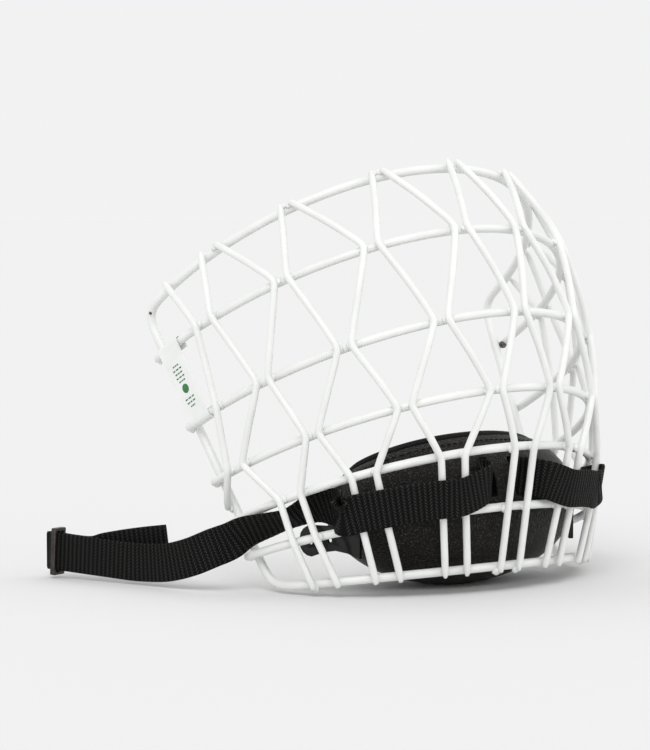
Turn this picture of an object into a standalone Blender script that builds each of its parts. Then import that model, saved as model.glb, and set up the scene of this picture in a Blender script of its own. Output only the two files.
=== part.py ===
"""Goalie mask: a welded wire cage with a webbing-hung chin cup.

Metres, +Z up. The wearer faces -Y, so the wearer's right is -X. The mask stands as it rests on a
table, tipped back on the two lower rear corners of its rim wire and on the chin cup.
"""

import math

import bmesh
import bpy
from mathutils import Matrix, Vector

# Wires -------------------------------------------------------------------------------------
RIM_RADIUS = 0.0021
CROSS_RADIUS = 0.0020
LATTICE_RADIUS = 0.0017
GAP = 0.0004
CROSS_LAP = RIM_RADIUS + CROSS_RADIUS + GAP          # cross wires lie outside the rim's rear edge
LATTICE_LIFT = RIM_RADIUS + LATTICE_RADIUS + GAP     # lattice wires lie outside the cross wires
CROSS_OVERHANG = 0.0032                              # how far a cross wire passes the rim's edge
LATTICE_OVERHANG = 0.0022                            # how far a lattice wire passes the rim

# Front profile in the mid plane: an arc down to row 5, then straight to row 7 ---------------
ARC_RADIUS = 0.1395
ARC_CENTRE = (0.0475, 0.0963)                        # (y, z)
ARC_ANGLES = (53.0, 35.8, 17.2, 1.9, -10.0)          # rows 1 to 5, degrees above straight ahead
STRAIGHT_STEP = 0.0303                               # from row 5 to 6 and from 6 to 7

# Rear edge of the cage: one straight line each side, from row 1 down to row 7 ---------------
EDGE_TOP = (0.1130, 0.0675, 0.1347)                  # (half width, y, z)
EDGE_BOTTOM = (0.0935, -0.0138, 0.0021)
EDGE_SHARES = (0.0, 0.165, 0.418, 0.618, 0.764, 0.885, 1.0)
CORNER_RADIUS = 0.011
ROWS = 7
ROW_STEPS = 16                                       # straight facets in each half of a row

# Lattice: neighbouring wires meet in close pairs, at turns on the odd and the even rows ------
LATTICE_WIRES = 8                                    # on each side, counted from the mid plane
ODD_PAIRS = (0.0, 0.0420, 0.0888, 0.1330, 0.1668)    # pair centres, along the row from the middle
EVEN_PAIRS = (0.0181, 0.0634, 0.1091, 0.1560)
LOWER_PAIR_SHARES = (0.0, 0.243, 0.508, 0.741)       # rows 5 to 7, as shares of the half row
PAIR_HALF_GAP = 0.0029
REAR_PAIR_HALF_GAP = 0.0050
LOWER_PAIR_HALF_GAP = 0.0058
REAR_WIRE_END_ROW = 4.62                             # the rearmost wire ends on the rim here
BEND_SHARE = 0.09                                    # part of each run that a bend rounds off

# Label plate folded round rows 2 and 3 -----------------------------------------------------
LABEL_THICKNESS = 0.0006
LABEL_SHARES = (0.900, 0.978)
LABEL_TUCK = 0.0035

# Chin cup: a shell between two ovals, flat where it rests. Its rim is level across the front,
# slopes down along the sides and then drops steeply at the rear -------------------------------
CUP_CENTRE = Vector((0.0, -0.0400, 0.0400))
CUP_HALF_SIZE = Vector((0.0725, 0.0418, 0.0405))
CUP_POWERS = (2.0, 2.2, 2.0)
CUP_WALL = 0.0048
RIM_MIDDLE = Vector((0.0, -0.0400, 0.0615))
RIM_TILT = math.radians(33.0)
REAR_MIDDLE = Vector((0.0, -0.0290, 0.0465))
REAR_TILT = math.radians(62.0)
CUP_SLOT_X = 0.0093
CUP_SLOT_SIZE = (0.0094, 0.0236)                     # width and height
CUP_SLOT_Z = 0.0563
PAD_WALL = 0.0040
PAD_TOP_Z = 0.0430
TRIM_RADIUS = 0.0019
TRIM_GAP = 0.0009

# Wings: plates from the cup's sides to the cage ---------------------------------------------
WING_INNER = (0.0690, -0.0525)                       # (half width, y)
WING_OUTER = (0.0836, -0.0235)
WING_HEIGHTS = (0.0180, 0.0335)
WING_CORNER = 0.0065
WING_WAIST = 0.0035                                  # how far the lower edge curves up
WING_THICKNESS = 0.0025
WING_HOLES = ((0.82, 0.0250), (0.50, 0.0265))  # (share along the wing, z)
WING_HOLE_RADIUS = 0.0012

# Webbing -----------------------------------------------------------------------------------
STRAP_WIDTH = 0.0190
STRAP_THICKNESS = 0.0015
STRAP_ROW = 5.67
STRAP_LIFT = LATTICE_LIFT + LATTICE_RADIUS + 0.0010 + STRAP_THICKNESS / 2
STRAP_LEAN = 8.0                                     # its top edge leans out, as the cage does
STRAP_STEP = 0.0050
# Stations are x, y, z and the lean of the webbing's top edge outwards, in degrees. The webbing
# starts behind the cup's bridge, comes out of a slot, lies over the lattice, turns in between two
# lattice wires and leaves again through the window between rows 5 and 6.
STRAP_START = (
    (0.0000, -0.0685, 0.0565, -30.0),
    (0.0045, -0.0692, 0.0564, -30.0),
    (0.0088, -0.0752, 0.0562, -18.0),
    (0.0124, -0.0828, 0.0556, 0.0),
    (0.0200, -0.0893, 0.0540, 8.0),
)
STRAP_SHARES_RIGHT = (0.22, 0.30, 0.38, 0.46, 0.54, 0.60)
STRAP_SHARES_LEFT = (0.22, 0.30, 0.38, 0.43)
STRAP_TURN_RIGHT = (
    (0.0830, -0.0560, 0.0444, 6.0),
    (0.0800, -0.0480, 0.0437, 8.0),
)
STRAP_TURN_LEFT = (
    (0.0704, -0.0732, 0.0484, 8.0),
    (0.0728, -0.0668, 0.0477, 8.0),
    (0.0736, -0.0592, 0.0464, 6.0),
    (0.0762, -0.0500, 0.0446, 8.0),
)
STRAP_WINDOW = (
    (0.0798, -0.0410, 0.0430, 18.0),
    (0.0830, -0.0330, 0.0418, 40.0),
    (0.0900, -0.0245, 0.0372, 56.0),
    (0.0975, -0.0170, 0.0338, 48.0),
)
STRAP_EXIT_RIGHT = (
    (0.1060, -0.0090, 0.0300, 32.0),
    (0.1122, -0.0035, 0.0252, 14.0),
    (0.1180, 0.0025, 0.0218, 0.0),
)
STRAP_EXIT_LEFT = (
    (0.1037, -0.0105, 0.0312, 34.0),
    (0.1068, -0.0025, 0.0281, 16.0),
    (0.1073, 0.0060, 0.0252, 0.0),
)
# Each free end runs back, dips to the table, folds and returns on its inner side
FREE_ROUTE_RIGHT = (
    (0.1186, 0.0031, 0.0214, 0.0),
    (0.1235, 0.0135, 0.0167, 0.0),
    (0.1275, 0.0270, 0.0130, 0.0),
    (0.1308, 0.0410, 0.0116, 0.0),
    (0.1340, 0.0510, 0.0114, 0.0),
)
FREE_ROUTE_LEFT = (
    (0.1074, 0.0069, 0.0249, 0.0),
    (0.1074, 0.0180, 0.0210, 0.0),
    (0.1070, 0.0320, 0.0155, 0.0),
    (0.1066, 0.0460, 0.0117, 0.0),
    (0.1062, 0.0560, 0.0110, 0.0),
)
FREE_END_RIGHT = Vector((0.1522, 0.0982, 0.0138))
FREE_END_LEFT = Vector((0.1050, 0.0990, 0.0145))
HINGE_RIGHT = Vector((0.1183, 0.0028, 0.0216))
HINGE_LEFT = Vector((0.1074, 0.0064, 0.0250))
FOLD_RADIUS = 0.0016
TAIL_STATIONS = (                                    # back from the fold, inwards and up
    (0.0230, 0.0032, 0.0000),
    (0.0330, 0.0046, 0.0028),
    (0.0440, 0.0066, 0.0055),
    (0.0550, 0.0088, 0.0078),
    (0.0660, 0.0108, 0.0098),
)

# Keeper: a flat buckle with a slot for each layer of the free end and a bar between them -------
KEEPER_BAR = 0.0027
KEEPER_WALL = 0.0017
KEEPER_MIDDLE = 0.0008
KEEPER_FROM_FOLD = 0.0042

ORIGIN_SHIFT = Vector((0.0, 0.0400, 0.0))            # the origin lies under the cup's flat rest


def remove_old_objects():
    for obj in list(bpy.data.objects):
        bpy.data.objects.remove(obj, do_unlink=True)


def make_material(name, colour, roughness, metallic=0.0):
    material = bpy.data.materials.new(name)
    material.use_nodes = True
    shader = material.node_tree.nodes["Principled BSDF"]
    shader.inputs["Base Color"].default_value = (*colour, 1.0)
    shader.inputs["Roughness"].default_value = roughness
    shader.inputs["Metallic"].default_value = metallic
    return material


def add_object(name, data, material=None):
    obj = bpy.data.objects.new(name, data)
    bpy.context.collection.objects.link(obj)
    if material:
        data.materials.append(material)
    return obj


def add_mesh(name, corners, faces, material=None):
    """A closed mesh whose faces all point outwards."""
    mesh = bpy.data.meshes.new(name)
    mesh.from_pydata([tuple(corner) for corner in corners], [], faces)
    shape = bmesh.new()
    shape.from_mesh(mesh)
    bmesh.ops.recalc_face_normals(shape, faces=shape.faces)
    shape.to_mesh(mesh)
    shape.free()
    return add_object(name, mesh, material)


def add_tube(name, points, radius, sides, material, closed=False):
    """A round wire along the points; a curve's bevel has 4 + 2 * resolution sides."""
    curve = bpy.data.curves.new(name, "CURVE")
    curve.dimensions = "3D"
    curve.bevel_depth = radius
    curve.bevel_resolution = (sides - 4) // 2
    curve.use_fill_caps = not closed
    spline = curve.splines.new("POLY")
    spline.points.add(len(points) - 1)
    for target, point in zip(spline.points, points):
        target.co = (*point, 1.0)
    spline.use_cyclic_u = closed
    return add_object(name, curve, material)


def cut(obj, cutter):
    modifier = obj.modifiers.new(cutter.name, "BOOLEAN")
    modifier.operation = "DIFFERENCE"
    modifier.solver = "EXACT"
    modifier.object = cutter
    cutter.hide_render = True
    cutter.display_type = "WIRE"


# The cage's surface -------------------------------------------------------------------------


def between(values, row):
    """The value at a row, which may lie between two whole rows."""
    index = min(int(row) - 1, ROWS - 2)
    part = row - 1 - index
    return values[index] * (1 - part) + values[index + 1] * part


def front_point(row):
    """(y, z) of the mid plane's profile at a row."""
    last = len(ARC_ANGLES)
    low = math.radians(ARC_ANGLES[-1])
    if row <= last:
        index = min(int(row) - 1, last - 2)
        part = row - 1 - index
        angle = math.radians(ARC_ANGLES[index] * (1 - part) + ARC_ANGLES[index + 1] * part)
        run = 0.0
    else:
        angle = low
        run = (row - last) * STRAIGHT_STEP
    y = ARC_CENTRE[0] - ARC_RADIUS * math.cos(angle) - run * math.sin(low)
    z = ARC_CENTRE[1] + ARC_RADIUS * math.sin(angle) - run * math.cos(low)
    return y, z


def edge_point(share):
    """(half width, y, z) of the rim's rear edge at a share of its length."""
    return [top + (bottom - top) * share for top, bottom in zip(EDGE_TOP, EDGE_BOTTOM)]


def half_width(row):
    """Rows 2 to 6 end outside the rim's rear edge, and rows 1 and 7 are the rim itself."""
    widths = []
    for number, share in enumerate(EDGE_SHARES, start=1):
        lap = 0.0 if number in (1, ROWS) else CROSS_LAP
        widths.append(edge_point(share)[0] + lap)
    return between(widths, row)


def half_row(row, steps=64):
    """Points of the right half of a row: a quarter ellipse from the front to the rear edge."""
    width = half_width(row)
    front_y, front_z = front_point(row)
    _, rear_y, rear_z = edge_point(between(EDGE_SHARES, row))
    points = []
    for step in range(steps + 1):
        angle = math.pi / 2 * step / steps
        back = 1 - math.cos(angle)
        y = front_y + (rear_y - front_y) * back
        z = front_z + (rear_z - front_z) * back
        points.append(Vector((-width * math.sin(angle), y, z)))
    return points


def point_along(points, distance):
    for start, end in zip(points, points[1:]):
        length = (end - start).length
        if distance <= length:
            return start.lerp(end, distance / length)
        distance -= length
    return points[-1] + (points[-1] - points[-2]).normalized() * distance


def path_length(points):
    return sum((end - start).length for start, end in zip(points, points[1:]))


def surface_point(row, share, lift=0.0):
    """A point on the right half of the cage, lifted outwards along the surface's normal."""
    here = half_row(row)
    length = path_length(here)
    point = point_along(here, share * length)
    if not lift:
        return point
    low, high = max(row - 0.25, 1.0), min(row + 0.25, float(ROWS))
    above = half_row(low)
    below = half_row(high)
    down = point_along(below, share * path_length(below)) - point_along(above, share * path_length(above))
    share = min(max(share, 0.01), 0.99)
    across = point_along(here, (share + 0.01) * length) - point_along(here, (share - 0.01) * length)
    return point + across.cross(down).normalized() * lift


def mirrored(point, side):
    """A point worked out on the wearer's right is kept for side -1 and mirrored for side 1."""
    return Vector((-point.x * side, point.y, point.z))


def rounded_corner(before, corner, after, radius, steps=4):
    """The two paths joined at a corner that a smooth curve replaces."""
    kept_before = [point for point in before if (point - corner).length > radius * 1.15]
    kept_after = [point for point in after if (point - corner).length > radius * 1.15]
    start = corner + (kept_before[-1] - corner).normalized() * radius
    end = corner + (kept_after[0] - corner).normalized() * radius
    bend = []
    for step in range(steps + 1):
        part = step / steps
        bend.append(start * (1 - part) ** 2 + corner * 2 * part * (1 - part) + end * part**2)
    return kept_before + bend + kept_after


# Cage wires ---------------------------------------------------------------------------------


def make_rim(material):
    top = half_row(1, ROW_STEPS)
    bottom = half_row(ROWS, ROW_STEPS)
    edge = [top[-1].lerp(bottom[-1], step / 4) for step in range(1, 4)]
    upper = rounded_corner(top[:-1], top[-1], edge, CORNER_RADIUS)
    right = rounded_corner(upper, bottom[-1], bottom[-2::-1], CORNER_RADIUS)
    left = [mirrored(point, 1) for point in reversed(right[1:-1])]
    add_tube("rim_wire", right + left, RIM_RADIUS, 8, material, closed=True)


def make_cross_wires(material):
    names = ("brow", "eye", "nose", "mouth", "chin")
    for row, name in enumerate(names, start=2):
        right = half_row(row, ROW_STEPS)
        right.append(right[-1] + (right[-1] - right[-2]).normalized() * CROSS_OVERHANG)
        left = [mirrored(point, 1) for point in right]
        path = list(reversed(right)) + left[1:]
        add_tube(f"{name}_cross_wire", path, CROSS_RADIUS, 8, material)


def lattice_share(wire, row):
    """Where a lattice wire crosses a row, as a share of the half row's length."""
    length = path_length(half_row(row))
    if row >= 5:
        pair, sign = (wire + 1) // 2, (-1 if wire % 2 else 1)
        return LOWER_PAIR_SHARES[pair] + sign * LOWER_PAIR_HALF_GAP / length
    if row % 2:
        pair, sign = (wire + 1) // 2, (-1 if wire % 2 else 1)
        half_gap = REAR_PAIR_HALF_GAP if (row, pair) == (1, 3) else PAIR_HALF_GAP
        return (ODD_PAIRS[pair] + sign * half_gap) / length
    pair, sign = wire // 2, (1 if wire % 2 else -1)
    half_gap = REAR_PAIR_HALF_GAP if pair == 3 else PAIR_HALF_GAP
    return (EVEN_PAIRS[pair] + sign * half_gap) / length


def lattice_turns(wire):
    """(row, share, lift) at each row that a lattice wire crosses."""
    rear_wire = wire == LATTICE_WIRES - 1
    last_row = 4 if rear_wire else ROWS
    turns = [(float(row), lattice_share(wire, row), LATTICE_LIFT) for row in range(1, last_row + 1)]
    if rear_wire:
        turns.append((REAR_WIRE_END_ROW, 1.0, 0.0))
    return turns


def round_turns(turns):
    """The same run of turns with each inner one rounded off."""
    vectors = [Vector(turn) for turn in turns]
    path = [vectors[0]]
    for before, here, after in zip(vectors, vectors[1:], vectors[2:]):
        start = here.lerp(before, BEND_SHARE)
        end = here.lerp(after, BEND_SHARE)
        path += [path[-1].lerp(start, 0.5), start, (start + here * 4 + end) / 6, end]
    path += [path[-1].lerp(vectors[-1], 0.5), vectors[-1]]
    return path


def make_lattice_wires(material):
    for wire in range(LATTICE_WIRES):
        path = [surface_point(*turn) for turn in round_turns(lattice_turns(wire))]
        path[0] += (path[0] - path[1]).normalized() * LATTICE_OVERHANG
        path[-1] += (path[-1] - path[-2]).normalized() * LATTICE_OVERHANG
        for side, word in ((-1, "right"), (1, "left")):
            points = [mirrored(point, side) for point in path]
            add_tube(f"lattice_wire_{word}_{wire + 1}", points, LATTICE_RADIUS, 6, material)


def make_label(material):
    """A thin plate over the outside of rows 2 and 3, tucked behind both."""
    reach = CROSS_RADIUS + GAP + LABEL_THICKNESS / 2
    profile = []
    for row, first, last in ((2, 180, 0), (3, 0, -180)):
        arc = []
        for step in range(9):
            angle = math.radians(first + (last - first) * step / 8)
            arc.append((row, reach * math.cos(angle), reach * math.sin(angle)))
        tuck = (row, -reach, -LABEL_TUCK if row == 2 else LABEL_TUCK)
        profile += [tuck] + arc if row == 2 else arc + [tuck]
    corners, faces = [], []
    for share in LABEL_SHARES:
        down = (surface_point(3, share) - surface_point(2, share)).normalized()
        across = surface_point(2.5, share + 0.01) - surface_point(2.5, share - 0.01)
        out = across.cross(down).normalized()
        line = [surface_point(row, share) + out * lift - down * rise for row, lift, rise in profile]
        for index, point in enumerate(line):
            run = line[min(index + 1, len(line) - 1)] - line[max(index - 1, 0)]
            thick = run.cross(across).normalized() * LABEL_THICKNESS / 2
            corners += [point + thick, point - thick]
    count = len(profile)
    near, far = 0, 2 * count
    for index in range(count - 1):
        a, b = 2 * index, 2 * index + 2
        faces.append((near + a, near + b, far + b, far + a))
        faces.append((near + a + 1, far + a + 1, far + b + 1, near + b + 1))
        faces.append((near + a, near + a + 1, near + b + 1, near + b))
        faces.append((far + a, far + b, far + b + 1, far + a + 1))
    faces.append((near, far, far + 1, near + 1))
    last = 2 * count - 2
    faces.append((near + last, near + last + 1, far + last + 1, far + last))
    add_mesh("approval_label", corners, faces, material)


# Chin cup -----------------------------------------------------------------------------------


def reach_of_oval(origin, ray, half_size):
    """How far along a ray from a point inside the oval its surface lies."""
    near, far = 0.0, 0.2
    for _ in range(26):
        reach = (near + far) / 2
        offset = origin + ray * reach - CUP_CENTRE
        fill = sum(abs(part / limit) ** power for part, limit, power in zip(offset, half_size, CUP_POWERS))
        near, far = (reach, far) if fill < 1 else (near, reach)
    return near


def make_oval(name, half_size, around=28, down=16, material=None):
    """A closed oval about the cup's centre."""
    rays = [Vector((0.0, 0.0, 1.0))]
    for ring in range(1, down):
        polar = math.pi * ring / down
        for step in range(around):
            turn = 2 * math.pi * step / around
            flat = math.sin(polar)
            rays.append(Vector((flat * math.cos(turn), flat * math.sin(turn), math.cos(polar))))
    rays.append(Vector((0.0, 0.0, -1.0)))
    corners = []
    for ray in rays:
        stretched = Vector((ray.x * half_size.x, ray.y * half_size.y, ray.z * half_size.z)).normalized()
        corners.append(CUP_CENTRE + stretched * reach_of_oval(CUP_CENTRE, stretched, half_size))
    faces = [(0, 1 + step, 1 + (step + 1) % around) for step in range(around)]
    for ring in range(down - 2):
        first = 1 + ring * around
        for step in range(around):
            after = (step + 1) % around
            faces.append((first + step, first + around + step, first + around + after, first + after))
    first = 1 + (down - 2) * around
    faces += [(len(corners) - 1, first + (step + 1) % around, first + step) for step in range(around)]
    return add_mesh(name, corners, faces, material)


def make_box(name, centre, size, tilt=0.0, material=None):
    """A box, tilted about X."""
    half = Vector(size) / 2
    corners = [Vector((x * half.x, y * half.y, z * half.z)) for x in (-1, 1) for y in (-1, 1) for z in (-1, 1)]
    faces = [(0, 1, 3, 2), (4, 6, 7, 5), (0, 4, 5, 1), (2, 3, 7, 6), (0, 2, 6, 4), (1, 5, 7, 3)]
    box = add_mesh(name, corners, faces, material)
    box.location = centre
    box.rotation_euler = (tilt, 0.0, 0.0)
    return box


def above_plane_box(name, middle, tilt, lift=0.0):
    """Everything above a plane that falls towards the rear, raised by lift along its normal."""
    size = 0.30
    normal = Vector((0.0, math.sin(tilt), math.cos(tilt)))
    return make_box(name, middle + normal * (size / 2 + lift), (size, size, size), tilt=-tilt)


def make_cup(shell_material, pad_material, trim_material):
    wall = Vector((CUP_WALL, CUP_WALL, CUP_WALL))
    shell = make_oval("chin_cup_shell", CUP_HALF_SIZE, material=shell_material)
    cut(shell, make_oval("cup_hollow", CUP_HALF_SIZE - wall))
    cut(shell, above_plane_box("cup_mouth", RIM_MIDDLE, RIM_TILT))
    cut(shell, above_plane_box("cup_rear_mouth", REAR_MIDDLE, REAR_TILT))
    cut(shell, make_box("table_plane", (0.0, 0.0, -0.05), (0.3, 0.3, 0.1)))
    for side, word in ((-1, "right"), (1, "left")):
        centre = (side * CUP_SLOT_X, CUP_CENTRE.y - CUP_HALF_SIZE.y, CUP_SLOT_Z)
        cut(shell, make_box(f"cup_slot_{word}", centre, (CUP_SLOT_SIZE[0], 0.030, CUP_SLOT_SIZE[1])))

    seat = wall + Vector((GAP, GAP, GAP)) * 3
    inner = seat + Vector((PAD_WALL, PAD_WALL, PAD_WALL))
    pad = make_oval("chin_pad", CUP_HALF_SIZE - seat, around=24, down=12, material=pad_material)
    cut(pad, make_oval("pad_hollow", CUP_HALF_SIZE - inner, around=24, down=12))
    size = 0.30
    cut(pad, make_box("pad_mouth", (0.0, 0.0, PAD_TOP_Z + size / 2), (size, size, size)))
    cut(pad, above_plane_box("pad_rear_mouth", REAR_MIDDLE, REAR_TILT, -0.0020))
    add_tube("chin_cup_edge_binding", rim_loop(CUP_HALF_SIZE - wall / 2), TRIM_RADIUS, 6, trim_material, True)


def rim_loop(half_size, count=64):
    """The centre line of the binding, which lies just above the rim's two planes."""
    lift = TRIM_RADIUS + TRIM_GAP
    centre_y = REAR_MIDDLE.y
    points = []
    for step in range(count):
        turn = 2 * math.pi * step / count
        meets = []
        for middle, tilt in ((RIM_MIDDLE, RIM_TILT), (REAR_MIDDLE, REAR_TILT)):
            height = middle.z + (middle.y - centre_y) * math.tan(tilt) + lift / math.cos(tilt)
            start = Vector((0.0, centre_y, height))
            ray = Vector((math.cos(turn), math.sin(turn), -math.sin(turn) * math.tan(tilt))).normalized()
            meets.append((start, start + ray * reach_of_oval(start, ray, half_size)))
        (_, on_top), (rear_start, on_rear) = meets
        rear_height = rear_start.z - (on_top.y - centre_y) * math.tan(REAR_TILT)
        points.append(on_top if on_top.z < rear_height else on_rear)
    return points


def wing_outline(length):
    """(run, height) points: a waisted lower edge, two round outer corners, a straight top."""
    low, high = WING_HEIGHTS
    radius = WING_CORNER
    outline = []
    for step in range(5):
        run = (length - radius) * step / 4
        outline.append((run, low + WING_WAIST * math.sin(math.pi * step / 4)))
    for height, first in ((low + radius, -90), (high - radius, 0)):
        for step in range(0 if first == 0 else 1, 5):
            angle = math.radians(first + 22.5 * step)
            outline.append((length - radius + radius * math.cos(angle), height + radius * math.sin(angle)))
    outline.append((0.0, high))
    return outline


def make_wings(material):
    clearance = Vector((GAP, GAP, GAP)) * 2
    for side, word in ((-1, "right"), (1, "left")):
        inner = Vector((side * WING_INNER[0], WING_INNER[1], 0.0))
        outer = Vector((side * WING_OUTER[0], WING_OUTER[1], 0.0))
        along = (outer - inner).normalized()
        out = Vector((along.y, -along.x, 0.0)) * (WING_THICKNESS / 2)
        outline = wing_outline((outer - inner).length)
        corners = []
        for run, height in outline:
            base = inner + along * run + Vector((0.0, 0.0, height))
            corners += [base + out, base - out]
        count = len(outline)
        faces = [tuple(2 * index for index in range(count))]
        faces.append(tuple(2 * index + 1 for index in reversed(range(count))))
        for index in range(count):
            a, b = 2 * index, 2 * ((index + 1) % count)
            faces.append((a, a + 1, b + 1, b))
        wing = add_mesh(f"chin_cup_wing_{word}", corners, faces, material)
        cut(wing, make_oval(f"wing_clearance_{word}", CUP_HALF_SIZE + clearance))
        for number, (share, height) in enumerate(WING_HOLES):
            base = inner.lerp(outer, share) + Vector((0.0, 0.0, height))
            cut(wing, make_peg(f"wing_hole_{word}_{number}", base, out.normalized(), WING_HOLE_RADIUS, 0.012))


def make_peg(name, centre, axis, radius, length, sides=10):
    """A round cutter along an axis."""
    across = axis.orthogonal().normalized()
    other = axis.cross(across)
    corners = []
    for end in (-0.5, 0.5):
        for step in range(sides):
            turn = 2 * math.pi * step / sides
            ring = across * math.cos(turn) + other * math.sin(turn)
            corners.append(centre + axis * (length * end) + ring * radius)
    faces = [tuple(reversed(range(sides))), tuple(range(sides, 2 * sides))]
    for step in range(sides):
        after = (step + 1) % sides
        faces.append((step, after, sides + after, sides + step))
    return add_mesh(name, corners, faces)


# Webbing ------------------------------------------------------------------------------------


def smooth_route(stations, step=STRAP_STEP):
    """Stations joined by a Catmull-Rom curve, with points about step apart."""
    vectors = [Vector(station) for station in stations]
    ends = [vectors[0] * 2 - vectors[1]] + vectors + [vectors[-1] * 2 - vectors[-2]]
    route = []
    for a, b, c, d in zip(ends, ends[1:], ends[2:], ends[3:]):
        count = max(2, round((c.xyz - b.xyz).length / step))
        for index in range(count):
            t = index / count
            curve = b * 2 + (c - a) * t + (a * 2 - b * 5 + c * 4 - d) * t**2 + (b * 3 - a - c * 3 + d) * t**3
            route.append(curve / 2)
    return route + [vectors[-1]]


def make_ribbon(name, route, material, outer=1):
    """Flat webbing along a route, its width upright but for the lean of its top edge.

    outer is 1 where the cage's outer side is on the right of the run, and -1 on its left.
    """
    corners = []
    for index, station in enumerate(route):
        before = route[max(index - 1, 0)].xyz
        after = route[min(index + 1, len(route) - 1)].xyz
        run = (after - before).normalized()
        side = run.cross(Vector((0.0, 0.0, 1.0))).normalized()
        up = side.cross(run)
        lean = math.radians(station.w) * outer
        wide = (up * math.cos(lean) + side * math.sin(lean)) * STRAP_WIDTH / 2
        thick = run.cross(wide).normalized() * STRAP_THICKNESS / 2
        centre = station.xyz
        corners += [centre + wide + thick, centre - wide + thick, centre - wide - thick, centre + wide - thick]
    faces = [(0, 1, 2, 3)]
    for index in range(len(route) - 1):
        for corner in range(4):
            a = 4 * index + corner
            b = 4 * index + (corner + 1) % 4
            faces.append((a, a + 4, b + 4, b))
    last = 4 * (len(route) - 1)
    faces.append((last + 3, last + 2, last + 1, last))
    return add_mesh(name, corners, faces, material)


def on_side(stations, side):
    """Stations written for positive x, put on the wearer's right (-1) or left (1)."""
    return [Vector((station[0] * side, *station[1:])) for station in stations]


def half_strap(side, shares, turn, leave):
    """One half of the chin strap, from behind the bridge to the cage's window."""
    outside = []
    for share in shares:
        point = mirrored(surface_point(STRAP_ROW, share, STRAP_LIFT), side)
        outside.append(Vector((*point, STRAP_LEAN)))
    start = on_side(STRAP_START, side)
    return smooth_route(start + outside + on_side(turn + STRAP_WINDOW + leave, side))


def make_chin_strap(material):
    right = half_strap(-1, STRAP_SHARES_RIGHT, STRAP_TURN_RIGHT, STRAP_EXIT_RIGHT)
    left = half_strap(1, STRAP_SHARES_LEFT, STRAP_TURN_LEFT, STRAP_EXIT_LEFT)
    make_ribbon("chin_strap", list(reversed(right)) + left[1:], material)


def place_origin(obj, point):
    """Moves an object's origin without moving its shape."""
    obj.data.transform(Matrix.Translation(-point))
    obj.location = point


def make_free_end(side, word, route, end, hinge, strap_material, keeper_material):
    """Webbing that folds round the outside of its keeper and comes back behind itself."""
    route = on_side(route, side)
    end = Vector((end.x * side, end.y, end.z))
    along = (end - route[-1].xyz).normalized()
    inwards = Vector((0.0, 0.0, 1.0)).cross(along).normalized() * side
    up = Vector((0.0, 0.0, 1.0))
    path = smooth_route(route)
    for step in range(7):
        angle = math.pi * step / 6
        offset = inwards * FOLD_RADIUS * (1 - math.cos(angle)) + along * FOLD_RADIUS * math.sin(angle)
        path.append(Vector((*(end + offset), 0.0)))
    tail = [end - along * back + inwards * across + up * rise for back, across, rise in TAIL_STATIONS]
    path += smooth_route([Vector((*point, 0.0)) for point in tail])
    ribbon = make_ribbon(f"strap_end_{word}", path, strap_material)
    place_origin(ribbon, Vector((hinge.x * side, hinge.y, hinge.z)))
    middle = end - along * KEEPER_FROM_FOLD + inwards * FOLD_RADIUS
    make_keeper(f"strap_keeper_{word}", middle, along, inwards, keeper_material)


def make_free_ends(strap_material, keeper_material):
    materials = (strap_material, keeper_material)
    make_free_end(-1, "right", FREE_ROUTE_RIGHT, FREE_END_RIGHT, HINGE_RIGHT, *materials)
    make_free_end(1, "left", FREE_ROUTE_LEFT, FREE_END_LEFT, HINGE_LEFT, *materials)


def make_keeper(name, centre, run, across, material):
    up = run.cross(across).normalized()
    turn = Matrix((run, across, up)).transposed().to_euler()
    layer = STRAP_THICKNESS + GAP * 2
    slot_middle = KEEPER_MIDDLE / 2 + layer / 2
    height = STRAP_WIDTH + GAP * 4
    size = (KEEPER_BAR, 2 * (slot_middle + layer / 2 + KEEPER_WALL), height + 2 * KEEPER_WALL)
    keeper = make_box(name, centre, size, material=material)
    keeper.rotation_euler = turn
    for number, way in enumerate((-1, 1)):
        slot = make_box(f"{name}_slot_{number}", centre + across * (slot_middle * way), (0.02, layer, height))
        slot.rotation_euler = turn
        cut(keeper, slot)


def move_origin():
    for obj in bpy.data.objects:
        obj.location += ORIGIN_SHIFT


def smooth_round_pieces():
    for obj in bpy.data.objects:
        if obj.type == "MESH" and not obj.hide_render:
            obj.data.shade_smooth()
            obj.data.set_sharp_from_angle(angle=math.radians(35.0))


def main():
    remove_old_objects()
    white_coat = make_material("white_powder_coat", (0.86, 0.87, 0.84), 0.35)
    label_white = make_material("label_white", (0.84, 0.85, 0.84), 0.45)
    vinyl = make_material("pebbled_vinyl", (0.040, 0.036, 0.034), 0.55)
    foam = make_material("black_foam", (0.030, 0.030, 0.031), 0.90)
    binding = make_material("binding", (0.022, 0.022, 0.024), 0.60)
    plastic = make_material("black_plastic", (0.015, 0.015, 0.016), 0.25)
    webbing = make_material("black_webbing", (0.022, 0.022, 0.023), 0.85)
    gunmetal = make_material("keeper_metal", (0.12, 0.11, 0.11), 0.35, 0.9)

    make_rim(white_coat)
    make_cross_wires(white_coat)
    make_lattice_wires(white_coat)
    make_label(label_white)
    make_cup(vinyl, foam, binding)
    make_wings(plastic)
    make_chin_strap(webbing)
    make_free_ends(webbing, gunmetal)
    move_origin()
    smooth_round_pieces()


main()
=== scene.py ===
"""Goalie mask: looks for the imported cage, chin cup, webbing and buckles.

Metres, in the CAD's frame: +X to the wearer's left, -Y the way the wearer faces, +Z up.
"""

import math

import bmesh
import bpy
from mathutils import Matrix, Vector, noise
from mathutils.bvhtree import BVHTree


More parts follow.
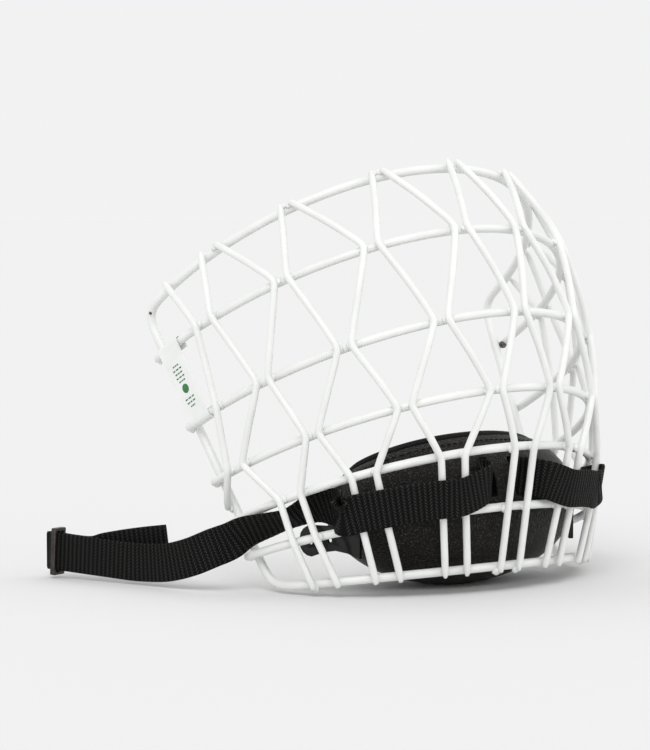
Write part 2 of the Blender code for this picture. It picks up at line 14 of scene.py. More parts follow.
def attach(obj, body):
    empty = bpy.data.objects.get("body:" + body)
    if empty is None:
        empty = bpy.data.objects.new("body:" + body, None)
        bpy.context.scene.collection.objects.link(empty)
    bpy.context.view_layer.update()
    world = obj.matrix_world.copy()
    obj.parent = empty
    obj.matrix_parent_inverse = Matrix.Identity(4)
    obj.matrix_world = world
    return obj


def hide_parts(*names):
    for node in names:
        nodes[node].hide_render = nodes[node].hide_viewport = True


# Camera ------------------------------------------------------------------------------------
CAMERA_PLACE = Vector((-0.8753, -1.0349, 0.1848))
CAMERA_AZIMUTH = math.radians(-37.5)
CAMERA_ELEVATION = math.radians(3.4)
CAMERA_LENS = 129.8

# Cup: an oval, cut by a sloping rim plane and a steep rear plane -----------------------------
CUP_CENTRE = Vector((0.0, 0.0, 0.0400))
CUP_HALF_SIZE = Vector((0.0725, 0.0418, 0.0405))
CUP_POWERS = (2.0, 2.2, 2.0)
CUP_WALL = 0.0048
RIM_PLANE = (0.0, 0.0615, math.tan(math.radians(33.0)))       # y, z and slope
REAR_PLANE = (0.0110, 0.0465, math.tan(math.radians(62.0)))
SLOT_X = 0.0093
SLOT_SIZE = (0.0074, 0.0190)
SLOT_Z = 0.0563
PAD_GAP = 0.0012
PAD_WALL = 0.0040
PAD_TOP_Z = 0.0430
STITCH_DROP = 0.0042
STITCH_COUNT = 84

# Webbing: stations of x, y, z and the lean of the top edge outwards in degrees ----------------
STRAP_WIDTH = 0.0190
STRAP_HALF_THICKNESS = 0.00062
RIB_PITCH = 0.0026
RIB_HEIGHT = 0.00030
THREAD_PITCH = 0.0016
RING_STEP = 0.00054
STRAP_START = (
    (0.0000, -0.0285, 0.0565, -30.0),
    (0.0045, -0.0292, 0.0564, -30.0),
    (0.0088, -0.0352, 0.0562, -18.0),
    (0.0124, -0.0428, 0.0556, 0.0),
    (0.0200, -0.0493, 0.0540, 8.0),
    (0.0345, -0.0491, 0.0493, 8.0),
    (0.0466, -0.0450, 0.0481, 8.0),
    (0.0581, -0.0396, 0.0466, 8.0),
)
STRAP_OVER_RIGHT = (
    (0.0689, -0.0329, 0.0446, 8.0),
    (0.0789, -0.0251, 0.0423, 8.0),
    (0.0856, -0.0184, 0.0403, 8.0),
    (0.0830, -0.0160, 0.0444, 6.0),
    (0.0800, -0.0080, 0.0437, 8.0),
)
STRAP_OVER_LEFT = (
    (0.0650, -0.0356, 0.0454, 8.0),
    (0.0704, -0.0332, 0.0484, 8.0),
    (0.0728, -0.0268, 0.0477, 8.0),
    (0.0736, -0.0192, 0.0464, 6.0),
    (0.0762, -0.0100, 0.0446, 8.0),
)
STRAP_WINDOW = (
    (0.0798, -0.0010, 0.0430, 18.0),
    (0.0830, 0.0070, 0.0418, 40.0),
    (0.0900, 0.0155, 0.0372, 56.0),
    (0.0975, 0.0230, 0.0338, 48.0),
)
STRAP_EXIT_RIGHT = (
    (0.1060, 0.0310, 0.0300, 32.0),
    (0.1122, 0.0365, 0.0252, 14.0),
    (0.1183, 0.0428, 0.0216, 0.0),
)
STRAP_EXIT_LEFT = (
    (0.1037, 0.0295, 0.0312, 34.0),
    (0.1068, 0.0375, 0.0281, 16.0),
    (0.1074, 0.0464, 0.0250, 0.0),
)
FREE_ROUTE_RIGHT = (
    (0.1180, 0.0424, 0.0218, 0.0),
    (0.1235, 0.0535, 0.0167, 0.0),
    (0.1275, 0.0670, 0.0130, 0.0),
    (0.1308, 0.0810, 0.0116, 0.0),
    (0.1340, 0.0910, 0.0114, 0.0),
)
FREE_ROUTE_LEFT = (
    (0.1074, 0.0460, 0.0252, 0.0),
    (0.1074, 0.0580, 0.0210, 0.0),
    (0.1070, 0.0720, 0.0155, 0.0),
    (0.1066, 0.0860, 0.0117, 0.0),
    (0.1062, 0.0960, 0.0110, 0.0),
)
FREE_END_RIGHT = Vector((0.1522, 0.1382, 0.0138))
FREE_END_LEFT = Vector((0.1050, 0.1390, 0.0145))
FOLD_RADIUS = 0.0016
TAIL_STATIONS = (
    (0.0230, 0.0032, 0.0000),
    (0.0330, 0.0046, 0.0028),
    (0.0440, 0.0066, 0.0055),
    (0.0550, 0.0088, 0.0078),
    (0.0660, 0.0108, 0.0098),
)

LABEL_TOP = Vector((-0.1163, 0.0834, 0.1186))
LABEL_BOTTOM = Vector((-0.1115, 0.0628, 0.0842))
LABEL_ACROSS = Vector((0.0011, -0.0133, 0.0073))
LABEL_DOT = 0.0236
LABEL_DOT_RADIUS = 0.0024
LABEL_LINES = (                                      # distance down the label and half length
    (0.0105, 0.0024),
    (0.0126, 0.0038),
    (0.0147, 0.0030),
    (0.0168, 0.0036),
    (0.0189, 0.0026),
    (0.0286, 0.0040),
    (0.0307, 0.0034),
    (0.0328, 0.0020),
)
BARE_SPOTS = (                                       # wire, centre and radius
    ("rim_wire", Vector((-0.1110, 0.1060, 0.1347)), 0.0009),
    ("brow_cross_wire", Vector((0.1143, 0.0932, 0.1128)), 0.0021),
)
BARE_FACING = Vector((-0.6077, -0.7920, 0.0594))     # the spots lie on this side of their wires
WELD_REACH = 0.0016
WELD_SIZE = 0.0024


# Materials ---------------------------------------------------------------------------------


class Surface:
    """A Principled material with helpers that add its procedural detail."""

    def __init__(self, name, colour, roughness, metallic=0.0, shine=0.5):
        self.material = bpy.data.materials.new(name)
        self.material.use_nodes = True
        self.tree = self.material.node_tree
        self.shader = self.tree.nodes["Principled BSDF"]
        self.shader.inputs["Base Color"].default_value = (*colour, 1.0)
        self.shader.inputs["Roughness"].default_value = roughness
        self.shader.inputs["Metallic"].default_value = metallic
        self.shader.inputs["Specular IOR Level"].default_value = shine
        self.place = self.tree.nodes.new("ShaderNodeTexCoord").outputs["Object"]
        self.normal = None

    def noise(self, scale, detail=3.0, source=None):
        node = self.tree.nodes.new("ShaderNodeTexNoise")
        node.inputs["Scale"].default_value = scale
        node.inputs["Detail"].default_value = detail
        self.tree.links.new(source or self.place, node.inputs["Vector"])
        return node.outputs["Fac"]

    def cells(self, scale):
        node = self.tree.nodes.new("ShaderNodeTexVoronoi")
        node.inputs["Scale"].default_value = scale
        self.tree.links.new(self.place, node.inputs["Vector"])
        return node.outputs["Distance"]

    def vary_colour(self, factor, dark, light, low=0.3, high=0.7):
        ramp = self.tree.nodes.new("ShaderNodeValToRGB")
        ramp.color_ramp.elements[0].position = low
        ramp.color_ramp.elements[1].position = high
        ramp.color_ramp.elements[0].color = (*dark, 1.0)
        ramp.color_ramp.elements[1].color = (*light, 1.0)
        self.tree.links.new(factor, ramp.inputs["Fac"])
        self.tree.links.new(ramp.outputs["Color"], self.shader.inputs["Base Color"])

    def vary_roughness(self, factor, low, high):
        span = self.tree.nodes.new("ShaderNodeMapRange")
        span.inputs["To Min"].default_value = low
        span.inputs["To Max"].default_value = high
        self.tree.links.new(factor, span.inputs["Value"])
        self.tree.links.new(span.outputs["Result"], self.shader.inputs["Roughness"])

    def bump(self, height, distance, strength=1.0, invert=False):
        node = self.tree.nodes.new("ShaderNodeBump")
        node.invert = invert
        node.inputs["Distance"].default_value = distance
        node.inputs["Strength"].default_value = strength
        self.tree.links.new(height, node.inputs["Height"])
        if self.normal:
            self.tree.links.new(self.normal, node.inputs["Normal"])
        self.normal = node.outputs["Normal"]
        self.tree.links.new(self.normal, self.shader.inputs["Normal"])


def powder_coat():
    surface = Surface("white_powder_coat", (0.83, 0.84, 0.82), 0.36)
    surface.vary_colour(surface.noise(60), (0.78, 0.79, 0.77), (0.85, 0.86, 0.84))
    surface.vary_roughness(surface.noise(240), 0.28, 0.46)
    surface.bump(surface.noise(900, 2.0), 0.00006, 0.5)
    surface.shader.inputs["Coat Weight"].default_value = 0.15
    return surface.material


def pebbled_vinyl():
    surface = Surface("pebbled_vinyl", (0.006, 0.005, 0.005), 0.32, shine=0.15)
    # The light specks in the colour are painted highlights: a painted sparkle on the pebbles.
    surface.vary_colour(surface.noise(1300), (0.003, 0.0026, 0.0023), (0.100, 0.090, 0.080), 0.54, 0.78)
    surface.vary_roughness(surface.noise(500), 0.20, 0.44)
    surface.bump(surface.noise(110, 4.0), 0.0009, 0.35)
    surface.bump(surface.cells(1150), 0.00045, 0.9, invert=True)
    return surface.material


def smooth_vinyl():
    surface = Surface("binding", (0.006, 0.005, 0.005), 0.5, shine=0.12)
    surface.vary_colour(surface.noise(300), (0.004, 0.004, 0.004), (0.012, 0.011, 0.010))
    surface.bump(surface.noise(1400, 2.0), 0.00012, 0.7)
    return surface.material


def pad_foam():
    surface = Surface("black_foam", (0.010, 0.010, 0.010), 0.9, shine=0.12)
    surface.vary_colour(surface.noise(800), (0.005, 0.005, 0.005), (0.018, 0.018, 0.018))
    surface.bump(surface.cells(1600), 0.00025, 0.9)
    return surface.material


def glossy_plastic():
    surface = Surface("black_plastic", (0.006, 0.006, 0.006), 0.16, shine=0.35)
    surface.vary_roughness(surface.noise(150), 0.10, 0.26)
    surface.bump(surface.noise(260, 2.0), 0.00012, 0.3)
    return surface.material


def nylon_webbing():
    """Slanted threads that turn at each rib; the UV map holds metres along and across."""
    surface = Surface("black_webbing", (0.006, 0.006, 0.006), 0.6, shine=0.10)
    tree = surface.tree
    parts = tree.nodes.new("ShaderNodeSeparateXYZ")
    tree.links.new(tree.nodes.new("ShaderNodeUVMap").outputs["UV"], parts.inputs["Vector"])
    turn = tree.nodes.new("ShaderNodeMath")
    turn.operation = "PINGPONG"
    turn.inputs[1].default_value = RIB_PITCH
    tree.links.new(parts.outputs["X"], turn.inputs[0])
    slant = tree.nodes.new("ShaderNodeMath")
    slant.operation = "ADD"
    tree.links.new(parts.outputs["Y"], slant.inputs[0])
    tree.links.new(turn.outputs["Value"], slant.inputs[1])
    place = tree.nodes.new("ShaderNodeCombineXYZ")
    tree.links.new(slant.outputs["Value"], place.inputs["X"])
    threads = tree.nodes.new("ShaderNodeTexWave")
    threads.inputs["Scale"].default_value = 2 * math.pi / 20 / THREAD_PITCH
    tree.links.new(place.outputs["Vector"], threads.inputs["Vector"])
    rows = tree.nodes.new("ShaderNodeTexWave")
    rows.inputs["Scale"].default_value = 2 * math.pi / 20 / RIB_PITCH
    tree.links.new(parts.outputs["X"], rows.inputs["Vector"])
    weave = tree.nodes.new("ShaderNodeMath")
    weave.operation = "MULTIPLY"
    tree.links.new(threads.outputs["Fac"], weave.inputs[0])
    tree.links.new(rows.outputs["Fac"], weave.inputs[1])
    # The weave's colour is painted shade in its valleys and painted highlights on its thread crests.
    dark, light = (0.002, 0.002, 0.002), (0.042, 0.041, 0.039)
    surface.vary_colour(weave.outputs["Value"], dark, light, 0.25, 0.95)
    surface.vary_roughness(surface.noise(500), 0.45, 0.75)
    surface.bump(weave.outputs["Value"], 0.00045, 0.9)
    surface.bump(surface.noise(2600, 2.0), 0.00010, 0.5)
    return surface.material


def gunmetal():
    surface = Surface("keeper_metal", (0.055, 0.048, 0.046), 0.34, 0.8)
    surface.vary_colour(surface.noise(400), (0.035, 0.030, 0.028), (0.085, 0.075, 0.072))
    surface.vary_roughness(surface.noise(700), 0.22, 0.48)
    surface.bump(surface.noise(1200, 2.0), 0.00005, 0.6)
    return surface.material


def label_film():
    surface = Surface("label_white", (0.84, 0.85, 0.84), 0.42)
    surface.vary_colour(surface.noise(90), (0.80, 0.815, 0.80), (0.87, 0.88, 0.87))
    surface.bump(surface.noise(500, 2.0), 0.00006, 0.4)
    return surface.material


def label_ink():
    surface = Surface("label_ink", (0.02, 0.17, 0.04), 0.5)
    surface.vary_colour(surface.noise(600), (0.015, 0.13, 0.03), (0.04, 0.22, 0.06))
    surface.bump(surface.noise(900, 2.0), 0.00004, 0.4)
    return surface.material


def bare_steel():
    surface = Surface("bare_steel", (0.10, 0.095, 0.09), 0.45, 0.6)
    surface.vary_colour(surface.noise(900), (0.04, 0.035, 0.03), (0.20, 0.18, 0.16))
    surface.bump(surface.noise(1500, 2.0), 0.00006, 0.6)
    return surface.material


# Mesh helpers ------------------------------------------------------------------------------


def add_mesh(name, corners, faces, material):
    mesh = bpy.data.meshes.new(name)
    mesh.from_pydata([tuple(corner) for corner in corners], [], faces)
    shape = bmesh.new()
    shape.from_mesh(mesh)
    bmesh.ops.recalc_face_normals(shape, faces=shape.faces)
    shape.to_mesh(mesh)
    shape.free()
    mesh.shade_smooth()
    mesh.materials.append(material)
    obj = bpy.data.objects.new(name, mesh)
    bpy.context.collection.objects.link(obj)
    return obj


def dress(node, material):
    node.data.materials.clear()
    node.data.materials.append(material)


def round_off(node, swell=0.0, levels=2):
    """Welds the CAD facets, rounds them and swells them back to the wire's true radius."""
    weld = node.modifiers.new("weld", "WELD")
    weld.merge_threshold = 0.00005
    subdivide = node.modifiers.new("round", "SUBSURF")
    subdivide.levels = levels
    subdivide.render_levels = levels
    if swell:
        push = node.modifiers.new("swell", "DISPLACE")
        push.mid_level = 0.0
        push.strength = swell
    for polygon in node.data.polygons:
        polygon.use_smooth = True


def soften_edges(node, width):
    weld = node.modifiers.new("weld", "WELD")
    weld.merge_threshold = 0.00005
    bevel = node.modifiers.new("soft", "BEVEL")
    bevel.width = width
    bevel.segments = 3
    bevel.limit_method = "ANGLE"
    bevel.angle_limit = math.radians(35.0)
    bevel.harden_normals = True
    for polygon in node.data.polygons:
        polygon.use_smooth = True


# Cage --------------------------------------------------------------------------------------


def world_tree(node):
    corners = [vertex.co.copy() for vertex in node.data.vertices]
    return BVHTree.FromPolygons(corners, [tuple(polygon.vertices) for polygon in node.data.polygons])


def add_blob(shape, place, radius, squeeze, turn, seed):
    """An uneven rounded lump; squeeze scales its own axes before turn is applied."""
    lump = bmesh.ops.create_icosphere(shape, subdivisions=2, radius=radius)
    for vertex in lump["verts"]:
        wobble = 1.0 + 0.28 * noise.noise(vertex.co * 700 + Vector((seed * 3.1, 0.0, 0.0)))
        flat = Vector((vertex.co.x * squeeze[0], vertex.co.y * squeeze[1], vertex.co.z * squeeze[2]))
        vertex.co = turn @ (flat * wobble) + place


def finish_blobs(name, shape, material):
    mesh = bpy.data.meshes.new(name)
    shape.to_mesh(mesh)
    shape.free()
    mesh.shade_smooth()
    mesh.materials.append(material)
    blobs = bpy.data.objects.new(name, mesh)
    bpy.context.collection.objects.link(blobs)
    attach(blobs, "cage")


def crossings(lattice, rows):
    """Where lattice wires touch the rows: each point and the way from the row to the wire."""
    places = []
    for row in rows:
        tree = world_tree(row)
        for wire in lattice:
            best = None
            for vertex in wire.data.vertices:
                hit, _, _, gap = tree.find_nearest(vertex.co, WELD_REACH)
                if hit is not None and (best is None or gap < best[0]):
                    best = (gap, (hit + vertex.co) / 2, vertex.co - hit)
            if best:
                places.append(best[1:])
    return places


def weld_crossings(lattice, rows, material):
    """A small bead in each crossing, flattened between its two wires."""
    shape = bmesh.new()
    for number, (place, out) in enumerate(crossings(lattice, rows)):
        turn = out.to_track_quat("Z", "Y").to_matrix()
        add_blob(shape, place, WELD_SIZE, (1.0, 1.0, 0.55), turn, number)
    finish_blobs("weld_beads", shape, material)


def weld_row_ends(cross, rim, material):
    """A larger bead where each cross wire lies on the rim's rear edge."""
    tree = world_tree(rim)
    shape = bmesh.new()
    for number, wire in enumerate(cross):
        for side in (-1, 1):
            ends = [vertex.co for vertex in wire.data.vertices if vertex.co.x * side > 0.085]
            hits = [(tree.find_nearest(end), end) for end in ends]
            nearest, end = min(hits, key=lambda pair: pair[0][3])
            place = (nearest[0] + end) / 2
            add_blob(shape, place, WELD_SIZE * 1.15, (0.6, 1.0, 1.0), Matrix.Identity(3), number + side)
    finish_blobs("rim_weld_beads", shape, material)


def bare_spots(nodes, material):
    """Uncoated dark spots on the rim's upper right corner and the brow wire's left end."""
    shape = bmesh.new()
    for name, centre, radius in BARE_SPOTS:
        edge, _, _, _ = world_tree(nodes[name]).ray_cast(centre + BARE_FACING * 0.03, -BARE_FACING)
        add_blob(shape, edge or centre, radius, (1.0, 1.0, 1.0), Matrix.Identity(3), 0)
    finish_blobs("bare_spots", shape, material)


def dress_cage(nodes, coat, steel):
    cross = [nodes[f"{name}_cross_wire"] for name in ("brow", "eye", "nose", "mouth", "chin")]
    lattice = [
        nodes[f"lattice_wire_{word}_{number}"] for word in ("right", "left") for number in range(1, 9)
    ]
    rim = nodes["rim_wire"]
    weld_crossings(lattice, cross + [rim], coat)
    weld_row_ends(cross, rim, coat)
    bare_spots(nodes, steel)
    for node in cross + [rim]:
        round_off(node, swell=0.00026)
    for node in lattice:
        round_off(node, swell=0.00032)
    for node in cross + [rim] + lattice:
        dress(node, coat)


# Label -------------------------------------------------------------------------------------


def stamp(label_tree, points, corners, faces):
    """Lays one flat mark on the label; points are (down, across) distances from its top."""
    down = (LABEL_BOTTOM - LABEL_TOP).normalized()
    out = down.cross(LABEL_ACROSS.normalized()).normalized()
    first = len(corners)
    for run, aside in points:
        start = LABEL_TOP + down * run + LABEL_ACROSS.normalized() * aside + out * 0.01
        hit, _, _, _ = label_tree.ray_cast(start, -out)
        corners.append((hit if hit is not None else start - out * 0.01) + out * 0.00008)
    faces.append(tuple(range(first, len(corners))))


def dress_label(label, film, ink):
    """The film with a plain green dot and rows of short dashes, none of them lettering."""
    dress(label, film)
    tree = world_tree(label)
    corners, faces = [], []
    turns = [2 * math.pi * step / 24 for step in range(24)]
    dot = [(LABEL_DOT + LABEL_DOT_RADIUS * math.cos(t), LABEL_DOT_RADIUS * math.sin(t)) for t in turns]
    stamp(tree, dot, corners, faces)
    for number, (run, half) in enumerate(LABEL_LINES):
        for part in (-1, 0, 1):
            middle = part * half * 0.68
            reach = half * (0.28 if (number + part) % 2 else 0.22)
            dash = [
                (run, middle - reach),
                (run + 0.0007, middle - reach),
                (run + 0.0007, middle + reach),
                (run, middle + reach),
            ]
            stamp(tree, dash, corners, faces)
    marks = add_mesh("label_marks", corners, faces, ink)
    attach(marks, "cage")


# Cup ---------------------------------------------------------------------------------------


def reach_of_oval(origin, ray, half_size):
    near, far = 0.0, 0.2
    for _ in range(26):
        reach = (near + far) / 2
        offset = origin + ray * reach - CUP_CENTRE
        terms = zip(offset, half_size, CUP_POWERS)
        fill = sum(abs(part / limit) ** power for part, limit, power in terms)
        near, far = (reach, far) if fill < 1 else (near, reach)
    return near


def roof(y, drop=0.0):
    """The height of the cup's rim at y: the lower of the rim plane and the rear plane."""
    heights = [z - (y - middle) * slope for middle, z, slope in (RIM_PLANE, REAR_PLANE)]
    return min(heights) - drop


def oval_wall(half_size, top, around, rows):
    """Rings of points from the top edge down an oval to its lowest point."""
    rings = [[] for _ in range(rows)]
    for step in range(around):
        turn = 2 * math.pi * step / around
        low, high = 0.0, math.pi
        for _ in range(24):
            polar = (low + high) / 2
            ray = stretched_ray(polar, turn, half_size)
            point = CUP_CENTRE + ray * reach_of_oval(CUP_CENTRE, ray, half_size)
            low, high = (low, polar) if point.z < top(point.y) else (polar, high)
        for row in range(rows):
            polar = low + (math.pi - low) * row / rows
            ray = stretched_ray(polar, turn, half_size)
            rings[row].append(CUP_CENTRE + ray * reach_of_oval(CUP_CENTRE, ray, half_size))
    return rings, CUP_CENTRE - Vector((0.0, 0.0, half_size.z))


def stretched_ray(polar, turn, half_size):
    flat = math.sin(polar)
    ray = Vector((flat * math.cos(turn), flat * math.sin(turn), math.cos(polar)))
    return (ray * half_size).normalized()


def bowl(name, outer_size, inner_size, top, material, crown=0.0, around=96, rows=22):
    """A closed bowl between two ovals, with its top edge crowned."""
    outer, outer_low = oval_wall(outer_size, top, around, rows)
    inner, inner_low = oval_wall(inner_size, top, around, rows)
    crest = [(a + b) / 2 + Vector((0.0, 0.0, crown)) for a, b in zip(outer[0], inner[0])]
    rings = list(reversed(inner)) + [crest] + outer
    corners = [inner_low] + [point for ring in rings for point in ring] + [outer_low]
    faces = [(0, 1 + step, 1 + (step + 1) % around) for step in range(around)]
    for ring in range(len(rings) - 1):
        first = 1 + ring * around
        for step in range(around):
            after = (step + 1) % around
            faces.append((first + step, first + after, first + around + after, first + around + step))
    first = 1 + (len(rings) - 1) * around
    faces += [(len(corners) - 1, first + (step + 1) % around, first + step) for step in range(around)]
    return add_mesh(name, corners, faces, material)


def cut_slots(shell):
    """Two round-cornered upright slots, left in the mesh for good."""
    for side in (-1, 1):
        width, height = SLOT_SIZE
        corners = []
        for y in (-0.060, -0.020):
            for step in range(24):
                turn = 2 * math.pi * step / 24
                x = math.copysign(abs(math.cos(turn)) ** 0.4, math.cos(turn)) * width / 2
                z = math.copysign(abs(math.sin(turn)) ** 0.4, math.sin(turn)) * height / 2
                corners.append((side * SLOT_X + x, y, SLOT_Z + z))
        faces = [tuple(range(24)), tuple(range(24, 48))]
        faces += [(step, (step + 1) % 24, 24 + (step + 1) % 24, 24 + step) for step in range(24)]
        cutter = add_mesh("slot_cutter", corners, faces, shell.data.materials[0])
        modifier = shell.modifiers.new("slot", "BOOLEAN")
        modifier.operation = "DIFFERENCE"
        modifier.solver = "EXACT"
        modifier.object = cutter
        bake_modifiers(shell)
        bpy.data.objects.remove(cutter)


def bake_modifiers(obj):
    graph = bpy.context.evaluated_depsgraph_get()
    mesh = bpy.data.meshes.new_from_object(obj.evaluated_get(graph))
    obj.modifiers.clear()
    obj.data = mesh


def add_stitches(thread):
    """Short stitches round the shell a little below its binding."""
    rings, _ = oval_wall(CUP_HALF_SIZE, lambda y: roof(y, STITCH_DROP), STITCH_COUNT * 2, 1)
    seam = rings[0]
    shape = bmesh.new()
    for start in range(0, len(seam), 2):
        along = seam[start + 1] - seam[start]
        turn = along.to_track_quat("X", "Z").to_matrix()
        place = (seam[start] + seam[start + 1]) / 2
        add_blob(shape, place, along.length * 0.75, (1.0, 0.32, 0.32), turn, start)
    finish_blobs("cup_stitches", shape, thread)


def make_cup(nodes, vinyl, foam, binding, plastic):
    wall = Vector((CUP_WALL, CUP_WALL, CUP_WALL))
    shell = bowl("cup_shell_looks", CUP_HALF_SIZE, CUP_HALF_SIZE - wall, roof, vinyl, crown=0.0004)
    for vertex in shell.data.vertices:
        vertex.co.z = max(vertex.co.z, 0.0)
    cut_slots(shell)
    shell.data.shade_smooth()
    shell.data.set_sharp_from_angle(angle=math.radians(50.0))
    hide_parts("chin_cup_shell")
    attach(shell, "cage")

    seat = wall + Vector((PAD_GAP, PAD_GAP, PAD_GAP))
    inner = seat + Vector((PAD_WALL, PAD_WALL, PAD_WALL))
    pad = bowl(
        "chin_pad_looks", CUP_HALF_SIZE - seat, CUP_HALF_SIZE - inner,
        lambda y: min(PAD_TOP_Z, roof(y, 0.0040)), foam, crown=0.0014,
    )
    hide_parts("chin_pad")
    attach(pad, "cage")

    add_stitches(binding)
    dress(nodes["chin_cup_edge_binding"], binding)
    round_off(nodes["chin_cup_edge_binding"], swell=0.00032)
    for word in ("right", "left"):
        wing = nodes[f"chin_cup_wing_{word}"]
        dress(wing, plastic)
        soften_edges(wing, 0.0005)


# Webbing -----------------------------------------------------------------------------------


def smooth_route(stations, step=RING_STEP):
    """Stations joined by a Catmull-Rom curve, with points about step apart."""
    vectors = [Vector(station) for station in stations]
    ends = [vectors[0] * 2 - vectors[1]] + vectors + [vectors[-1] * 2 - vectors[-2]]
    route = []
    for a, b, c, d in zip(ends, ends[1:], ends[2:], ends[3:]):
        count = max(1, round((c.xyz - b.xyz).length / step))
        for index in range(count):
            t = index / count
            curve = b * 2 + (c - a) * t
            curve += (a * 2 - b * 5 + c * 4 - d) * t**2 + (b * 3 - a - c * 3 + d) * t**3
            route.append(curve / 2)
    return route + [vectors[-1]]


def on_side(stations, side):
    return [Vector((station[0] * side, *station[1:])) for station in stations]


def ribbon_section(distance):
    """(share of the half width, half thickness) round one half of the webbing's section.

    Ribs cross the webbing, and both edges are rounded selvedges.
    """
    section = []
    for step in range(-8, 9):
        share = step / 8
        edge = min(1.0, (1.0 - abs(share)) * 9.0)
        rib = abs(math.sin(math.pi * distance / RIB_PITCH))
        half = STRAP_HALF_THICKNESS + RIB_HEIGHT * (rib - 0.5)
        section.append((share, half * (0.55 + 0.45 * edge)))
    return section


def make_webbing(name, route, material, body, node):
    """Flat webbing whose width stands upright but for the lean of its top edge."""
    corners, uvs, distance = [], [], 0.0
    for index, station in enumerate(route):
        before = route[max(index - 3, 0)].xyz
        after = route[min(index + 3, len(route) - 1)].xyz
        run = (after - before).normalized()
        side = run.cross(Vector((0.0, 0.0, 1.0))).normalized()
        up = side.cross(run)
        lean = math.radians(station.w)
        wide = up * math.cos(lean) + side * math.sin(lean)
        thick = run.cross(wide).normalized()
        if index:
            distance += (station.xyz - route[index - 1].xyz).length
        section = ribbon_section(distance)
        for share, half in section:
            corners.append(station.xyz + wide * (share * STRAP_WIDTH / 2) + thick * half)
            uvs.append((distance, share * STRAP_WIDTH / 2))
        for share, half in reversed(section):
            corners.append(station.xyz + wide * (share * STRAP_WIDTH / 2) - thick * half)
            uvs.append((distance, share * STRAP_WIDTH / 2))
    count = 2 * len(ribbon_section(0.0))
    faces = [tuple(range(count))]
    for index in range(len(route) - 1):
        first = index * count
        for step in range(count):
            after = (step + 1) % count
            faces.append((first + step, first + after, first + count + after, first + count + step))
    last = (len(route) - 1) * count
    faces.append(tuple(last + step for step in reversed(range(count))))
    webbing = add_mesh(name, corners, faces, material)
    layer = webbing.data.uv_layers.new(name="UVMap")
    for loop in webbing.data.loops:
        layer.data[loop.index].uv = uvs[loop.vertex_index]
    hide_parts(node)
    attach(webbing, body)


def make_chin_strap(material):
    right = smooth_route(on_side(STRAP_START + STRAP_OVER_RIGHT + STRAP_WINDOW + STRAP_EXIT_RIGHT, -1))
    left = smooth_route(on_side(STRAP_START + STRAP_OVER_LEFT + STRAP_WINDOW + STRAP_EXIT_LEFT, 1))
    route = list(reversed(right)) + left[1:]
    make_webbing("chin_strap_looks", route, material, "cage", "chin_strap")


def make_free_end(side, word, stations, end, material):
    """Webbing that folds outside its buckle and comes back behind itself."""
    stations = on_side(stations, side)
    end = Vector((end.x * side, end.y, end.z))
    along = (end - stations[-1].xyz).normalized()
    inwards = Vector((0.0, 0.0, 1.0)).cross(along).normalized() * side
    up = Vector((0.0, 0.0, 1.0))
    route = smooth_route(stations)
    gap = (end - route[-1].xyz).length
    count = round(gap / RING_STEP)
    route += [Vector((*(route[-1].xyz.lerp(end, step / count)), 0.0)) for step in range(1, count)]
    for step in range(13):
        angle = math.pi * step / 12
        offset = inwards * FOLD_RADIUS * (1 - math.cos(angle)) + along * FOLD_RADIUS * math.sin(angle)
        route.append(Vector((*(end + offset), 0.0)))
    tail = [end + inwards * 2 * FOLD_RADIUS - along * RING_STEP]
    tail += [end - along * back + inwards * across + up * rise for back, across, rise in TAIL_STATIONS]
    route += smooth_route([Vector((*point, 0.0)) for point in tail])
    make_webbing(f"strap_end_{word}_looks", route, material, f"strap_{word}", f"strap_end_{word}")


# Stage -------------------------------------------------------------------------------------


def make_floor():
    surface = Surface("floor", (0.76, 0.76, 0.76), 0.9, shine=0.0)
    corners = [(-60.0, -60.0, 0.0), (60.0, -60.0, 0.0), (60.0, 60.0, 0.0), (-60.0, 60.0, 0.0)]
    floor = add_mesh("floor", corners, [(0, 1, 2, 3)], surface.material)
    floor.location.z = -0.0001


def add_sun(name, direction, spread, strength):
    data = bpy.data.lights.new(name, "SUN")
    data.angle = math.radians(spread)
    data.energy = strength
    light = bpy.data.objects.new(name, data)
    bpy.context.collection.objects.link(light)
    light.rotation_euler = Vector(direction).to_track_quat("Z", "Y").to_euler()


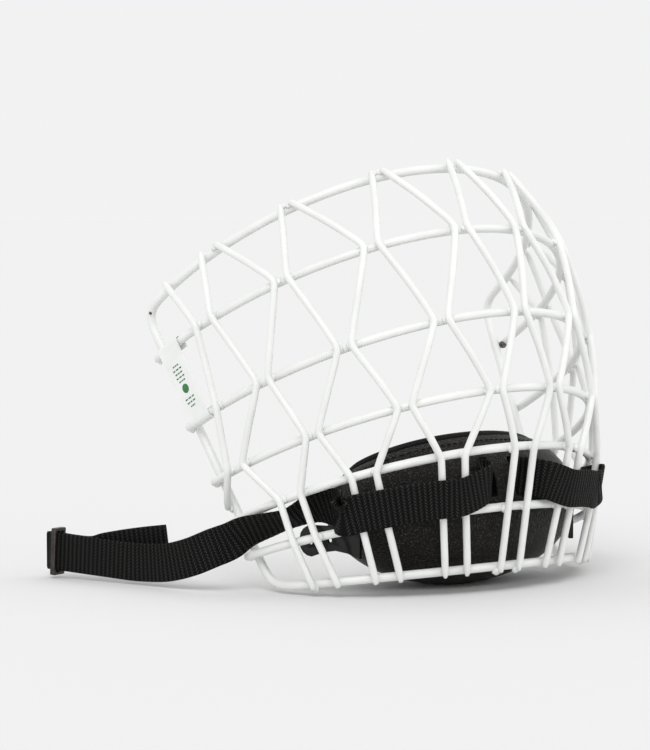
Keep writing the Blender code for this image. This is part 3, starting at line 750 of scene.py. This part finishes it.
def light_scene():
    world = bpy.data.worlds.new("studio")
    world.use_nodes = True
    world.node_tree.nodes["Background"].inputs["Color"].default_value = (0.89, 0.89, 0.89, 1.0)
    bpy.context.scene.world = world
    bpy.context.scene.view_settings.view_transform = "Standard"
    add_sun("key", (-0.9, -0.8, 1.3), 35.0, 0.95)
    add_sun("fill", (0.9, -0.9, 0.7), 50.0, 0.35)


def place_camera():
    azimuth, elevation = CAMERA_AZIMUTH, CAMERA_ELEVATION
    back = Vector((
        math.sin(azimuth) * math.cos(elevation),
        -math.cos(azimuth) * math.cos(elevation),
        math.sin(elevation),
    ))
    right = Vector((math.cos(azimuth), math.sin(azimuth), 0.0))
    data = bpy.data.cameras.new("camera")
    data.sensor_width = 36.0
    data.lens = CAMERA_LENS
    camera = bpy.data.objects.new("camera", data)
    bpy.context.collection.objects.link(camera)
    turn = Matrix((right, back.cross(right), back)).transposed().to_4x4()
    camera.matrix_world = Matrix.Translation(CAMERA_PLACE) @ turn
    bpy.context.scene.camera = camera


# Everything --------------------------------------------------------------------------------

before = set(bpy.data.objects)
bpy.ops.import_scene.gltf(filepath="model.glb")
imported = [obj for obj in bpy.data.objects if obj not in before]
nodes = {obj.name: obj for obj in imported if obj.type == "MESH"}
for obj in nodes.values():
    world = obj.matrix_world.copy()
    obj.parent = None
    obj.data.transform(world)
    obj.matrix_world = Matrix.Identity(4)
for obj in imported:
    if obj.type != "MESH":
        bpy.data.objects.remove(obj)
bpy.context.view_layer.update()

coat = powder_coat()
dress_cage(nodes, coat, bare_steel())
dress_label(nodes["approval_label"], label_film(), label_ink())
make_cup(nodes, pebbled_vinyl(), pad_foam(), smooth_vinyl(), glossy_plastic())

webbing = nylon_webbing()
make_chin_strap(webbing)
make_free_end(-1, "right", FREE_ROUTE_RIGHT, FREE_END_RIGHT, webbing)
make_free_end(1, "left", FREE_ROUTE_LEFT, FREE_END_LEFT, webbing)
metal = gunmetal()
for word in ("right", "left"):
    dress(nodes[f"strap_keeper_{word}"], metal)
    soften_edges(nodes[f"strap_keeper_{word}"], 0.0006)

make_floor()
light_scene()
place_camera()
